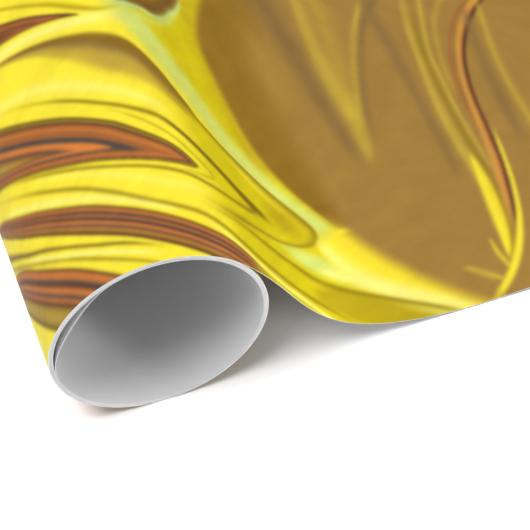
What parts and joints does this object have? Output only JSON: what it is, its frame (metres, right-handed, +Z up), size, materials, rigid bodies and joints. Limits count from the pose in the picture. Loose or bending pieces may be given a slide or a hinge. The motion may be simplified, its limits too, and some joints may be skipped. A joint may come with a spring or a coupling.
{
  "type": "wrapping paper roll",
  "caption": "Coreless roll of printed gift wrap, partly unrolled: wound turns of paper, a free inner end, and a sheet that leaves the roll, curves down and lies flat.",
  "frame": {"origin": "bottom centre of the whole part's box: on the table plane, half way along the roll and half way from the roll's outer side to the free edge of the sheet", "axes": "+X from the roll along the sheet that has been unrolled, +Y along the roll and across the sheet, +Z up from the table"},
  "size_m": [0.3932, 0.762, 0.0507],
  "materials": {
    "printed_face": "satin printed paper, marbled yellow, amber, copper and brown",
    "paper_back": "matt white uncoated paper"
  },
  "bodies": {
    "sheet": {"laid_sheet": "printed_face"},
    "take_off": {"take_off_curve": "printed_face"},
    "roll": {"turn_01": "printed_face", "turn_02": "paper_back", "turn_03": "paper_back", "turn_04": "paper_back", "turn_05": "paper_back", "turn_06": "paper_back", "turn_07": "paper_back", "turn_08": "paper_back", "turn_09": "paper_back"},
    "tail": {"inner_tail": "paper_back"},
    "leading_edge": {"leading_edge": "printed_face"}
  },
  "joints": [
    {"name": "roll_travel", "type": "slide", "parent": "sheet", "child": "take_off", "axis": [-1, 0, 0], "range_m": [0, 0.16]},
    {"name": "roll_spin", "type": "hinge", "parent": "take_off", "child": "roll", "pos_m": [-0.17127, 0, 0.02532], "axis": [0, 1, 0], "range_deg": [0, 360]},
    {"name": "tail_flex", "type": "hinge", "parent": "roll", "child": "tail", "pos_m": [-0.18052, 0, 0.04764], "axis": [0, -1, 0], "range_deg": [0, 30], "stiffness_Nm_per_rad": 0.02},
    {"name": "leading_edge_lift", "type": "hinge", "parent": "sheet", "child": "leading_edge", "pos_m": [0.13662, 0, 0], "axis": [0, -1, 0], "range_deg": [0, 60]}
  ],
  "couplings": [
    {"joint": "roll_travel", "follows": "roll_spin", "m_per_rad": 0.0254}
  ]
}
